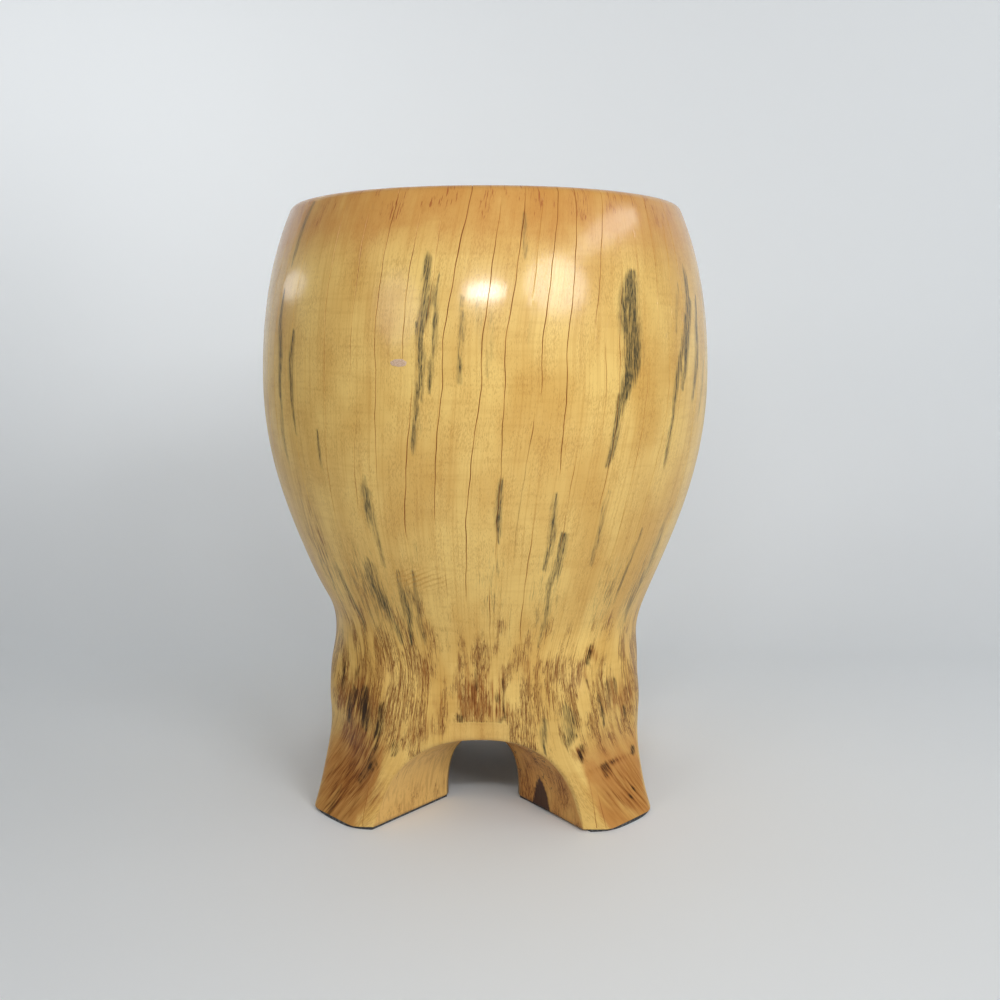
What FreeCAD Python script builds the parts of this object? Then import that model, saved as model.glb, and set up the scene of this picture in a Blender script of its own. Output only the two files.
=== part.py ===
import FreeCAD, Part
import math
import os

# A stool carved from one log: a turned barrel with a waist, standing on four flared feet.
# Millimetres. +Z is up, the front looks along -Y, and the origin is on the floor under the seat's middle.

# Turned barrel, from the seat down to the waist. A PULL sets how far the curve runs on before it bends
SEAT_HEIGHT = 450.0
RIM_RADIUS = 147.4
RIM_ROUND = 8.0
SHOULDER_PULL = 74.0
BELLY_DROP = 128.0
BELLY_RADIUS = 173.2
BELLY_PULL = 107.5
WAIST_PULL = 53.3
WAIST_HEIGHT = 94.5
WAIST_RADIUS = 115.5

# Leg block: a square with planed corners. SIDE is its half width, CORNER its reach on the diagonal
LEG_TOP_HEIGHT = 150.0
HIP_HEIGHT = 74.0
HIP_SIDE = 120.2
HIP_CORNER = 136.4
ANKLE_HEIGHT = 40.0
ANKLE_SIDE = 121.5
ANKLE_CORNER = 139.0
FOOT_SIDE = 128.2
FOOT_CORNER = 158.0
EDGE_CRISPNESS = 30.0

# Four arches, flared from a narrow throat to a wide mouth, and the hollow where they meet
MOUTH_HALF_WIDTH = 79.5
MOUTH_HEIGHT = 68.0
THROAT_HALF_WIDTH = 27.1
THROAT_HEIGHT = 50.0
ARCH_FULLNESS = 2.4
HOLLOW_RADIUS = 72.0
HOLLOW_HEIGHT = 57.0
HOLLOW_ROUND = 12.0

# Pads glued under the feet, a little smaller than the soles
PAD_THICKNESS = 2.0
PAD_INSET = 0.7

# Filler set flush into a small hole in the belly, at the front left
FILLER_TURN = -107.6
FILLER_HEIGHT = 336.3
FILLER_LENGTH = 13.0
FILLER_WIDTH = 5.6
FILLER_DEPTH = 8.0

# How finely the curved forms are sampled, and how far a cutter runs past what it cuts
SECTION_POINTS = 120
ARCH_POINTS = 25
SPAN_SECTIONS = 7
RIM_SECTIONS = 5
LEG_SECTIONS = 10
CUT_OVERRUN = 12.0

UP = FreeCAD.Vector(0, 0, 1)
BELLY_HEIGHT = SEAT_HEIGHT - BELLY_DROP
THROAT_REACH = math.sqrt(HOLLOW_RADIUS ** 2 - THROAT_HALF_WIDTH ** 2)
ARCH_DEPTH = FOOT_SIDE - THROAT_REACH
QUADRANTS = {
    "front_left": (-1, -1),
    "front_right": (1, -1),
    "rear_left": (-1, 1),
    "rear_right": (1, 1),
}


def barrel_profile():
    """Heights and radii from the waist to the shoulder: a cubic upright at both ends, then a parabola."""
    steps = [i / SPAN_SECTIONS for i in range(SPAN_SECTIONS + 1)]
    flank = [
        (
            WAIST_HEIGHT * (1 - t) ** 3
            + (WAIST_HEIGHT + WAIST_PULL) * 3 * t * (1 - t) ** 2
            + (BELLY_HEIGHT - BELLY_PULL) * 3 * t ** 2 * (1 - t)
            + BELLY_HEIGHT * t ** 3,
            WAIST_RADIUS + (BELLY_RADIUS - WAIST_RADIUS) * smooth_step(t),
        )
        for t in steps
    ]
    shoulder = [
        (
            BELLY_HEIGHT * (1 - t) ** 2
            + (BELLY_HEIGHT + SHOULDER_PULL) * 2 * t * (1 - t)
            + SEAT_HEIGHT * t ** 2,
            BELLY_RADIUS - (BELLY_RADIUS - RIM_RADIUS) * t ** 2,
        )
        for t in steps[1:-1]
    ]
    return flank + shoulder


def rim_profile():
    """Heights and radii round the rim: an arc from the shoulder's lean to the flat seat."""
    lean = math.atan2(BELLY_RADIUS - RIM_RADIUS, BELLY_DROP - SHOULDER_PULL)
    centre = RIM_RADIUS - RIM_ROUND * (1 - math.sin(lean)) / math.cos(lean)
    turns = [lean + (math.pi / 2 - lean) * i / RIM_SECTIONS for i in range(RIM_SECTIONS + 1)]
    return [
        (SEAT_HEIGHT - RIM_ROUND * (1 - math.sin(turn)), centre + RIM_ROUND * math.cos(turn))
        for turn in turns
    ]


def smooth_step(t):
    """0 to 1 with no slope at either end."""
    return t * t * (3 - 2 * t)


def parabola(height, foot, ankle, hip):
    """The value at a height of the parabola through the foot, ankle and hip values."""
    to_ankle = height - ANKLE_HEIGHT
    to_hip = height - HIP_HEIGHT
    return (
        foot * to_ankle * to_hip / (ANKLE_HEIGHT * HIP_HEIGHT)
        - ankle * height * to_hip / (ANKLE_HEIGHT * (HIP_HEIGHT - ANKLE_HEIGHT))
        + hip * height * to_ankle / (HIP_HEIGHT * (HIP_HEIGHT - ANKLE_HEIGHT))
    )


def planed_square(angle, side, corner):
    """Radius of a square whose corners are planed off, with every edge eased."""
    faces = (
        math.cos(angle) / side,
        math.sin(angle) / side,
        math.cos(angle - math.pi / 4) / corner,
        math.sin(angle - math.pi / 4) / corner,
    )
    return sum(abs(face) ** EDGE_CRISPNESS for face in faces) ** (-1 / EDGE_CRISPNESS)


def log_radius(angle, height, barrel_radius, inset=0.0):
    """The log's radius: a planed square in the legs, which turns into the round barrel at their top."""
    if height >= LEG_TOP_HEIGHT:
        return barrel_radius
    side = parabola(height, FOOT_SIDE, ANKLE_SIDE, HIP_SIDE) - inset
    corner = parabola(height, FOOT_CORNER, ANKLE_CORNER, HIP_CORNER) - inset
    squareness = smooth_step(min((LEG_TOP_HEIGHT - height) / (LEG_TOP_HEIGHT - HIP_HEIGHT), 1.0))
    return squareness * planed_square(angle, side, corner) + (1 - squareness) * barrel_radius


def section(height, radius_at):
    """A closed smooth outline at one height, from the radius at each angle."""
    points = []
    for i in range(SECTION_POINTS):
        angle = 2 * math.pi * i / SECTION_POINTS
        radius = radius_at(angle)
        points.append(FreeCAD.Vector(radius * math.cos(angle), radius * math.sin(angle), height))
    outline = Part.BSplineCurve()
    outline.interpolate(Points=points, PeriodicFlag=True)
    return Part.Wire([outline.toShape()])


def log_solid():
    """The log before its arches are cut: one smooth skin from the soles over the rounded rim."""
    rise = (WAIST_HEIGHT - PAD_THICKNESS) / LEG_SECTIONS
    stations = [(PAD_THICKNESS + rise * i, WAIST_RADIUS) for i in range(LEG_SECTIONS)]
    stations += barrel_profile() + rim_profile()
    sections = [section(z, lambda angle: log_radius(angle, z, radius)) for z, radius in stations]
    return Part.makeLoft(sections, True, False)


def arch_outline(reach, growth):
    """Half-ellipse-like outline of the front arch at a distance from the axis, closed below the floor."""
    along = (reach - THROAT_REACH) / ARCH_DEPTH
    half_width = THROAT_HALF_WIDTH + (MOUTH_HALF_WIDTH - THROAT_HALF_WIDTH) * along + growth
    height = THROAT_HEIGHT + (MOUTH_HEIGHT - THROAT_HEIGHT) * along + growth
    power = 2 / ARCH_FULLNESS
    points = []
    for i in range(ARCH_POINTS):
        turn = math.pi * i / (ARCH_POINTS - 1)
        across = math.copysign(abs(math.cos(turn)) ** power, math.cos(turn))
        points.append(FreeCAD.Vector(half_width * across, -reach, height * math.sin(turn) ** power))
    curve = Part.BSplineCurve()
    curve.interpolate(Points=points)
    right = FreeCAD.Vector(half_width, -reach, -CUT_OVERRUN)
    left = FreeCAD.Vector(-half_width, -reach, -CUT_OVERRUN)
    corners = [points[-1], left, right, points[0]]
    skirt = [Part.LineSegment(start, end).toShape() for start, end in zip(corners, corners[1:])]
    return Part.Wire([curve.toShape()] + skirt)


def underside_cut(growth=0.0):
    """What is carved away below: four flared arches and the round hollow that joins them."""
    wall_slope = math.hypot(ARCH_DEPTH, MOUTH_HALF_WIDTH - THROAT_HALF_WIDTH) / ARCH_DEPTH
    reaches = (THROAT_REACH - CUT_OVERRUN, FOOT_SIDE + CUT_OVERRUN)
    arch = Part.makeLoft([arch_outline(reach, growth * wall_slope) for reach in reaches], True, True)
    hollow = Part.makeCylinder(
        HOLLOW_RADIUS + growth, HOLLOW_HEIGHT + CUT_OVERRUN, FreeCAD.Vector(0, 0, -CUT_OVERRUN)
    )
    ceiling = max(hollow.Edges, key=lambda edge: edge.CenterOfMass.z)
    cut = hollow.makeFillet(HOLLOW_ROUND, [ceiling])
    for quarter in range(4):
        cut = cut.fuse(arch.rotated(FreeCAD.Vector(), UP, 90 * quarter))
    return cut


def filler_plug_blank(log):
    """An elliptical plug on a radius of the log, from its depth below the skin out to open air."""
    outward = FreeCAD.Vector(math.cos(math.radians(FILLER_TURN)), math.sin(math.radians(FILLER_TURN)), 0)
    axis = UP * FILLER_HEIGHT
    ray = Part.LineSegment(axis, axis + outward * (BELLY_RADIUS + CUT_OVERRUN)).toShape()
    skin_radius = ray.common(log).Length
    start = axis + outward * (skin_radius - FILLER_DEPTH)
    sideways = UP.cross(outward)
    ellipse = Part.Ellipse(start + sideways * FILLER_LENGTH / 2, start + UP * FILLER_WIDTH / 2, start)
    face = Part.Face(Part.Wire([ellipse.toShape()]))
    return face.extrude(outward * (FILLER_DEPTH + CUT_OVERRUN))


def foot_pads():
    """Thin pads with the soles' outline, one for each foot."""
    outline = section(0.0, lambda angle: log_radius(angle, PAD_THICKNESS, WAIST_RADIUS, PAD_INSET))
    sheet = Part.Face(outline).extrude(UP * PAD_THICKNESS)
    pads = sheet.cut(underside_cut(PAD_INSET)).Solids
    named = {}
    for place, (x_sign, y_sign) in QUADRANTS.items():
        here = [pad for pad in pads if pad.CenterOfMass.x * x_sign > 0 and pad.CenterOfMass.y * y_sign > 0]
        named["foot_pad_" + place] = here[0]
    return named


def build():
    """Every piece of the stool by name."""
    log = log_solid()
    blank = filler_plug_blank(log)
    nodes = {"carved_body": log.cut(underside_cut()).cut(blank), "knot_filler": log.common(blank)}
    nodes.update(foot_pads())
    return nodes


os.makedirs("parts", exist_ok=True)
for name, shape in build().items():
    solid = shape.Solids[0]
    solid.exportStep(os.path.join("parts", name + ".step"))
    box = solid.BoundBox
    print(
        f"{name}: {len(shape.Solids)} solid, valid {solid.isValid()}, volume {solid.Volume / 1000:.1f} cm3,"
        f" x {box.XMin:.1f} to {box.XMax:.1f}, y {box.YMin:.1f} to {box.YMax:.1f},"
        f" z {box.ZMin:.1f} to {box.ZMax:.1f}"
    )
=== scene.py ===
# %% [markdown]
# # A stool carved from one log
# The real stool is a single log: a turned barrel with a waist, standing on four flared feet that are
# left over when four arches are cut into its foot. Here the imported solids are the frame. They keep their
# sizes, and this script gives the log its lacquered, cracked and stained skin, and the filler and pads
# their finish.

import bpy
import numpy as np
from mathutils import Matrix, Vector


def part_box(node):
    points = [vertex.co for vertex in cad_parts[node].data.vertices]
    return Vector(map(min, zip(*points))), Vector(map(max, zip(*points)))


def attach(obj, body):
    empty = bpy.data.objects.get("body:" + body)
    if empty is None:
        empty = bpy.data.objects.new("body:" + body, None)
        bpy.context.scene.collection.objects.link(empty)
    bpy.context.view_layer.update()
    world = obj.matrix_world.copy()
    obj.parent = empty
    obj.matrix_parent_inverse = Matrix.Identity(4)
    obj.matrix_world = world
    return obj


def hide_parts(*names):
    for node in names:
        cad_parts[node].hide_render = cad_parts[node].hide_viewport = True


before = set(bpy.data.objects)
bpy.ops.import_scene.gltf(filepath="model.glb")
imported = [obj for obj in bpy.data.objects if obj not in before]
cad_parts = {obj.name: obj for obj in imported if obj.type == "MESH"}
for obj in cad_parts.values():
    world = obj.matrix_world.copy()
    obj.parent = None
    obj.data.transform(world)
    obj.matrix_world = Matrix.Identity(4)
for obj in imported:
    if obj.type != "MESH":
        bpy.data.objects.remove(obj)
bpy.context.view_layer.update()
MM = 0.001


def linked(name, data):
    """A new object with the given data, put into the scene."""
    thing = bpy.data.objects.new(name, data)
    bpy.context.scene.collection.objects.link(thing)
    return thing


print("nodes:", sorted(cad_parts))

# %% [markdown]
# ## Camera
# The photograph was taken from a little below the height of the seat, close to the stool, looking
# slightly down. A camera could be placed by eye, but one that is fitted to the outline keeps every size
# in the picture true. The feet show that it stood a little to the right of the stool's front. The small
# sideways shift puts the stool left of the middle without turning it.

# %% Camera
LENS = 39.6
SENSOR = 36.0
EYE_DISTANCE = 0.8762
EYE_HEIGHT = 0.3543
EYE_PITCH = 8.549
SIDE_SHIFT = 0.0147
FACING = 1.3

facing = np.radians(FACING)
eye = linked("eye", bpy.data.cameras.new("eye"))
eye.location = (EYE_DISTANCE * np.sin(facing), -EYE_DISTANCE * np.cos(facing), EYE_HEIGHT)
eye.rotation_euler = (np.radians(90 - EYE_PITCH), 0.0, facing)
eye.data.lens = LENS
eye.data.sensor_width = SENSOR
eye.data.shift_x = SIDE_SHIFT
bpy.context.scene.camera = eye
bpy.context.scene.view_settings.view_transform = "Standard"
print("camera at", np.round(eye.location, 3), "looking down", EYE_PITCH, "degrees")

# %% [markdown]
# ## The log's form
# The barrel was turned, so one curve of radius against height gives all of it. The legs were carved
# square with planed corners, and they flow into the round waist. The same formulas made the solids, so
# they are repeated here in millimetres. A place on the log is a turn, in degrees from the front with
# plus to the right, and a height above the floor.

# %% Sizes of the log
SEAT_HEIGHT = 450.0
RIM_RADIUS = 147.4
RIM_ROUND = 8.0
SHOULDER_PULL = 74.0
BELLY_HEIGHT = 322.0
BELLY_RADIUS = 173.2
BELLY_PULL = 107.5
WAIST_PULL = 53.3
WAIST_HEIGHT = 94.5
WAIST_RADIUS = 115.5
LEG_TOP_HEIGHT = 150.0
HIP_HEIGHT = 74.0
HIP_SIDE = 120.2
HIP_CORNER = 136.4
ANKLE_HEIGHT = 40.0
ANKLE_SIDE = 121.5
ANKLE_CORNER = 139.0
FOOT_SIDE = 128.2
FOOT_CORNER = 158.0
HIP_CRISPNESS = 30.0
SOLE_CRISPNESS = 90.0
CURVE_POINTS = 300
SOLE_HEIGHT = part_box("foot_pad_front_left")[1].z / MM
print("the soles are", round(SOLE_HEIGHT, 2), "mm above the floor, on their pads")

# %% Formulas of the log
def smooth(share):
    """Smooth step: 0 below 0, 1 above 1, three squares minus two cubes between."""
    share = np.clip(share, 0.0, 1.0)
    return share * share * (3 - 2 * share)


def ramp(value, start, end):
    """Smooth step from 0 at the start to 1 at the end, which may be the lower of the two."""
    return smooth((value - start) / (end - start))


def barrel_radius(height):
    """Radius against height: a cubic curve, upright at the waist and at the belly, then a parabola."""
    t = np.linspace(0.0, 1.0, CURVE_POINTS)
    flank = (
        WAIST_HEIGHT * (1 - t) ** 3
        + (WAIST_HEIGHT + WAIST_PULL) * 3 * t * (1 - t) ** 2
        + (BELLY_HEIGHT - BELLY_PULL) * 3 * t ** 2 * (1 - t)
        + BELLY_HEIGHT * t ** 3
    )
    shoulder = (
        BELLY_HEIGHT * (1 - t) ** 2
        + (BELLY_HEIGHT + SHOULDER_PULL) * 2 * t * (1 - t)
        + SEAT_HEIGHT * t ** 2
    )
    flank_radius = WAIST_RADIUS + (BELLY_RADIUS - WAIST_RADIUS) * smooth(t)
    shoulder_radius = BELLY_RADIUS - (BELLY_RADIUS - RIM_RADIUS) * t ** 2
    return np.interp(height, np.append(flank, shoulder), np.append(flank_radius, shoulder_radius))


def parabola(height, foot, ankle, hip):
    """Value at a height of the parabola through the values at the foot, the ankle and the hip."""
    to_ankle = height - ANKLE_HEIGHT
    to_hip = height - HIP_HEIGHT
    return (
        foot * to_ankle * to_hip / (ANKLE_HEIGHT * HIP_HEIGHT)
        - ankle * height * to_hip / (ANKLE_HEIGHT * (HIP_HEIGHT - ANKLE_HEIGHT))
        + hip * height * to_ankle / (HIP_HEIGHT * (HIP_HEIGHT - ANKLE_HEIGHT))
    )


def planed_square(angle, side, corner, crispness):
    """Radius of a square with planed corners: the power mean of its four pairs of faces."""
    faces = np.cos(angle) / side, np.sin(angle) / side
    planes = np.cos(angle - np.pi / 4) / corner, np.sin(angle - np.pi / 4) / corner
    total = sum(np.abs(face) ** crispness for face in faces + planes)
    return total ** (-1 / crispness)


def leg_sizes(height):
    """Half widths across the flats and the planed corners. Above the legs they stay at 1 mm or more."""
    side = parabola(height, FOOT_SIDE, ANKLE_SIDE, HIP_SIDE)
    corner = parabola(height, FOOT_CORNER, ANKLE_CORNER, HIP_CORNER)
    return np.maximum(side, 1.0), np.maximum(corner, 1.0)


def log_radius(turn, height):
    """Radius of the log: the planed square in the legs, eased into the round barrel at their top."""
    squareness = ramp(height, LEG_TOP_HEIGHT, HIP_HEIGHT)
    crispness = HIP_CRISPNESS + (SOLE_CRISPNESS - HIP_CRISPNESS) * ramp(height, HIP_HEIGHT, 0.0)
    square = planed_square(np.radians(turn), *leg_sizes(height), crispness)
    return squareness * square + (1 - squareness) * barrel_radius(height)


print("radius at the belly", barrel_radius(BELLY_HEIGHT), "and at the waist", barrel_radius(WAIST_HEIGHT))

# %% [markdown]
# ## Marks of the hand
# A turned and hand-carved log is never as true as a formula. Noise would make it lumpy, so a few long
# waves stand for the lathe and the gouge, stronger on the legs, and a short list of swells and dips
# stands for what shows in the outline. On the barrel they only take wood away, so it keeps its size. The
# band over the front arch was trimmed flat, which leaves a shallow step.

# %% Unevenness of the carving
BARREL_WAVE = 0.22
BARREL_WAVES = ((3, 47.0, 0.0), (7, -29.0, 1.3))  # waves round the log, mm to a radian, start
LEG_WAVE = 0.8
GOUGE_WAVES = ((11, 19.0), (2, 23.0))  # waves round the log, mm to a radian
GOUGE_FADE = 60.0
SOLE_FADE = 25.0
TRIM_LEFT = -11.9
TRIM_RIGHT = 10.2
TRIM_TOP = 80.0
TRIM_DEPTH = 0.9
TRIM_EASE = 2.5
SWELLS = (
    # turn, height, half turn, half height, push
    (-68.0, 106.0, 15.0, 13.0, 2.4),
    (-70.0, 142.0, 18.0, 18.0, -3.0),
    (66.0, 108.0, 16.0, 16.0, 2.4),
    (-58.0, 56.0, 12.0, 18.0, -1.8),
    (58.0, 26.0, 12.0, 30.0, -1.8),
    (0.0, 108.0, 16.0, 22.0, -0.8),
    (180.0, 104.0, 18.0, 24.0, -1.0),
    (118.0, 106.0, 14.0, 15.0, 1.6),
    (-116.0, 112.0, 14.0, 15.0, 1.5),
)


def turn_between(turn, centre):
    """Signed turn from a centre, from -180 to 180 degrees."""
    return (turn - centre + 180.0) % 360.0 - 180.0


def bell(turn, height, centre, level, half_turn, half_height):
    """1 at a turn and a height, falling off round them as a bell."""
    across = turn_between(turn, centre) / half_turn
    along = (height - level) / half_height
    return np.exp(-across ** 2 - along ** 2)


def trimmed_band(turn, height):
    """1 on the flat over the front arch, eased to 0 at its sides and top."""
    sides = smooth((turn - TRIM_LEFT) / TRIM_EASE) * smooth((TRIM_RIGHT - turn) / TRIM_EASE)
    return sides * smooth((TRIM_TOP - height) / TRIM_EASE)


def carving(turn, height):
    """Departure from the true form: waves on the barrel, gouge marks on the legs, swells and the flat."""
    angle = np.radians(turn)
    waves = sum(np.sin(around * angle + height / run + start) for around, run, start in BARREL_WAVES)
    legs = smooth((LEG_TOP_HEIGHT - height) / GOUGE_FADE) * smooth((height - SOLE_HEIGHT) / SOLE_FADE)
    first, second = (np.sin(around * angle + height / run) for around, run in GOUGE_WAVES)
    uneven = BARREL_WAVE * (waves - len(BARREL_WAVES)) + LEG_WAVE * legs * first * second
    for *spot, push in SWELLS:
        uneven = uneven + push * bell(turn, height, *spot)
    return uneven - TRIM_DEPTH * trimmed_band(turn, height)


def skin_radius(turn, height):
    """Radius of the finished skin."""
    return log_radius(turn, height) + carving(turn, height)


def place(turn, height, radius):
    """Point at a turn, height and radius, as an array whose last axis is x, y, z."""
    angle = np.radians(turn)
    return np.stack(np.broadcast_arrays(radius * np.sin(angle), -radius * np.cos(angle), height), -1)


print(len(SWELLS), "swells and dips, and a flat", TRIM_DEPTH, "mm deep over the front arch")

# %% [markdown]
# ## Drying cracks
# As a log dries it opens along its fibres. These cracks are what the eye follows on this stool: they run
# from the rim nearly to the waist, lean to the right near the seat and drift to the left below the
# belly. Painted lines would look flat, so each crack is a groove in the mesh. The grid's columns follow
# the fibres, and each crack has three of them: two lips and a bottom. The front ones are listed from
# the photograph, with turns counted from the camera, and the other sides get theirs from a seeded draw.

# %% List of cracks
CRACKS = (
    # turn at the belly from the camera, lean at the rim, drift at the flank, top, bottom, strength
    (-51.6, 2.6, 0.2, 430, 222, 0.40),
    (-45.6, 2.0, -0.8, 358, 305, 0.35),
    (-38.8, 0.9, -2.3, 440, 222, 0.65),
    (-34.8, 1.5, -1.8, 170, 125, 0.40),
    (-36.6, 1.2, -2.0, 42, -30, 0.55),
    (-31.2, 2.2, -3.4, 440, 305, 0.60),
    (-29.7, 2.0, -3.2, 296, 226, 0.55),
    (-24.7, 2.3, -1.2, 460, 255, 0.90),
    (-18.0, 2.6, -3.9, 436, 322, 0.65),
    (-15.9, 2.6, -3.9, 328, 205, 0.75),
    (-12.8, 2.9, -1.0, 433, 335, 0.40),
    (-11.4, 4.0, -1.6, 132, 70, 0.40),
    (-9.2, 6.0, -3.3, 460, 228, 1.00),
    (-7.6, 5.8, -2.9, 225, 165, 0.40),
    (-5.4, 5.6, -2.7, 168, 133, 0.45),
    (-0.8, 5.2, -4.1, 442, 168, 0.80),
    (2.9, 5.5, -1.5, 196, 118, 0.55),
    (4.3, 6.0, -1.6, 460, 200, 0.80),
    (8.9, 5.6, -3.0, 448, 372, 0.35),
    (10.9, 6.2, -3.2, 310, 255, 0.80),
    (12.1, 6.6, -3.0, 460, 310, 0.85),
    (14.6, 6.0, -3.2, 248, 122, 0.60),
    (17.9, 5.5, -1.7, 460, 258, 1.00),
    (22.6, 6.3, -3.2, 285, 195, 0.45),
    (24.2, 6.7, -2.0, 460, 350, 0.75),
    (27.4, 5.0, -2.4, 365, 288, 0.60),
    (31.0, 4.0, -2.8, 418, 225, 0.80),
    (36.6, 2.8, -2.0, 425, 385, 0.55),
    (39.0, 3.0, -2.5, 342, 175, 0.55),
    (43.0, 3.5, -2.0, 460, 352, 0.65),
    (46.9, 3.5, -3.2, 355, 190, 0.60),
    (48.2, 4.3, -3.2, 432, 358, 0.40),
    (-11.8, 4.0, -1.4, 98, 40, 0.55),
    (10.4, 6.0, -2.6, 98, 40, 0.45),
    (34.3, 3.4, -2.8, 44, -30, 0.60),
    (36.1, 3.0, -2.5, 36, -30, 0.50),
)
UNSEEN_FROM = 56.0
UNSEEN_TO = 305.0
UNSEEN_SPACING = 7.2
UNSEEN_BOTTOMS = (120, 320)
RIM_CRACKS = 0.4
RIM_CRACK_TOP = 460.0
draw = np.random.default_rng(11)


def drawn(count, *ranges):
    """As many numbers as the count from each range, drawn evenly, range by range."""
    return [draw.uniform(low, high, count) for low, high in ranges]


def unseen_cracks():
    """Cracks round the sides and back, evenly spaced with a jitter, like those in the list."""
    turns = np.arange(UNSEEN_FROM, UNSEEN_TO, UNSEEN_SPACING)
    jitter, chance, tops, lengths, leans, drifts, strengths = drawn(
        turns.size, (-0.28, 0.28), (0, 1), (330, 440), (90, 230), (2.5, 5.0), (-3.2, -1.4), (0.35, 1.0)
    )
    tops = np.where(chance < RIM_CRACKS, RIM_CRACK_TOP, tops)
    bottoms = np.clip(tops - lengths, *UNSEEN_BOTTOMS)
    return np.stack([turns + jitter * UNSEEN_SPACING, leans, drifts, tops, bottoms, strengths], -1)


def from_camera(rows, *turn_columns):
    """A list as an array, with the turns in the given columns counted from the front, not the camera."""
    rows = np.array(rows)
    rows[:, turn_columns] += FACING
    return rows


cracks = np.concatenate([from_camera(CRACKS, 0), unseen_cracks()])
cracks[:, 0] = turn_between(cracks[:, 0], 0.0)
cracks = cracks[np.argsort(cracks[:, 0])]
crack_turn, crack_lean, crack_drift, crack_top, crack_bottom, crack_strength = cracks.T
crack_phase = draw.uniform(0, 2 * np.pi, (2, len(cracks)))
print(len(CRACKS), "cracks on the front and", len(cracks) - len(CRACKS), "round the sides and back")

# %% Path and depth of the cracks
LEAN_HEIGHTS = (350, 370, 390, 415, 445)
LEAN_SHARES = (0.0, 0.15, 0.38, 0.65, 1.0)
DRIFT_HEIGHTS = (165, 230, 270, 295, 320)
DRIFT_SHARES = (1.1, 1.0, 0.6, 0.25, 0.0)
WAVERS = ((0.2, 21.0), (0.1, 8.7), (0.06, 3.3))
CRACK_DEPTH = 1.5
CRACK_TAPER = 34.0
OPENING_MEAN = 0.74
OPENING_SWING = 0.26
OPENING_RUN = 7.0


def crack_shift(height):
    """Turn of every crack from its turn at the belly: its lean and drift, and wavers of three lengths."""
    height = np.asarray(height)[:, None]
    lean = np.interp(height, LEAN_HEIGHTS, LEAN_SHARES) * crack_lean
    drift = np.interp(height, DRIFT_HEIGHTS, DRIFT_SHARES) * crack_drift
    waver = sum(reach * np.sin(height / run + run * crack_phase[0]) for reach, run in WAVERS)
    return lean + drift + waver


def crack_opening(height):
    """How far the cracks are open, 0 to 1, tapered at their ends. Heights have one column, or one each."""
    ends = smooth((crack_top - height) / CRACK_TAPER) * smooth((height - crack_bottom) / CRACK_TAPER)
    uneven = OPENING_MEAN + OPENING_SWING * np.sin(height / OPENING_RUN + crack_phase[1])
    return crack_strength * np.sqrt(ends) * uneven


print("cracks are up to", CRACK_DEPTH, "mm deep and close over their last", CRACK_TAPER, "mm")

# %% [markdown]
# ## The lower edge
# The outer skin ends below in one closed line. On a foot it follows the sole, and over an arch it climbs
# the arch's mouth. A boolean cut would leave ragged faces there, so the line is worked out first and the
# columns of the grid run down to it. Seen from below the arches meet in a round hollow, whose edge is a
# second closed line. Every column crosses both, so the whole log is one unbroken skin.

# %% Sizes of the arches
MOUTH_HALF_WIDTH = 79.5
MOUTH_HEIGHT = 68.0
THROAT_HALF_WIDTH = 27.1
THROAT_HEIGHT = 50.0
ARCH_FULLNESS = 2.4
HOLLOW_RADIUS = 72.0
HOLLOW_HEIGHT = 57.0
HOLLOW_ROUND = 12.0
HOLLOW_WALL = HOLLOW_HEIGHT - HOLLOW_ROUND
THROAT_REACH = np.sqrt(HOLLOW_RADIUS ** 2 - THROAT_HALF_WIDTH ** 2)
ARCH_DEPTH = FOOT_SIDE - THROAT_REACH
FRONT_RIGHT_NARROWER = 5.0
SOLE_PHASE = np.arcsin((SOLE_HEIGHT / MOUTH_HEIGHT) ** (ARCH_FULLNESS / 2))
SLIDES = 40


def hollow_radius(turn, height):
    """Radius of the hollow, the same at every turn: upright, then a quarter round into its ceiling."""
    above = np.clip(height - HOLLOW_WALL, 0.0, HOLLOW_ROUND)
    return HOLLOW_RADIUS - HOLLOW_ROUND + np.sqrt(HOLLOW_ROUND ** 2 - above ** 2)


def arch_meets(radius_at, phase, sign, quarter):
    """Where the arch's rulings meet a round surface: slide along each until the radius agrees."""
    power = 2 / ARCH_FULLNESS
    narrower = np.where((quarter == 0) & (sign > 0), FRONT_RIGHT_NARROWER, 0.0)
    flare = MOUTH_HALF_WIDTH - narrower - THROAT_HALF_WIDTH
    reach = np.full_like(phase, FOOT_SIDE)
    for _ in range(SLIDES):
        along = (reach - THROAT_REACH) / ARCH_DEPTH
        half_width = THROAT_HALF_WIDTH + flare * along
        arch_height = THROAT_HEIGHT + (MOUTH_HEIGHT - THROAT_HEIGHT) * along
        across = sign * half_width * np.cos(phase) ** power
        height = np.maximum(arch_height * np.sin(phase) ** power, SOLE_HEIGHT)
        turn = np.degrees(np.arctan2(across, reach)) + 90 * quarter
        radius = radius_at(turn, height)
        reach = reach * radius / np.hypot(across, reach)
    return turn, height, radius


print("each arch runs", round(ARCH_DEPTH, 1), "mm in from the foot's side to the hollow")

# %% Columns of the grid
ARC_WEIGHT = 0.6
COLUMN_SPACING = 0.9
CRACK_CLEARANCE = 0.62
LIP_HALF_WIDTH = 0.11
MOUTH_POINTS = 500
FOOT_POINTS = 100

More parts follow.
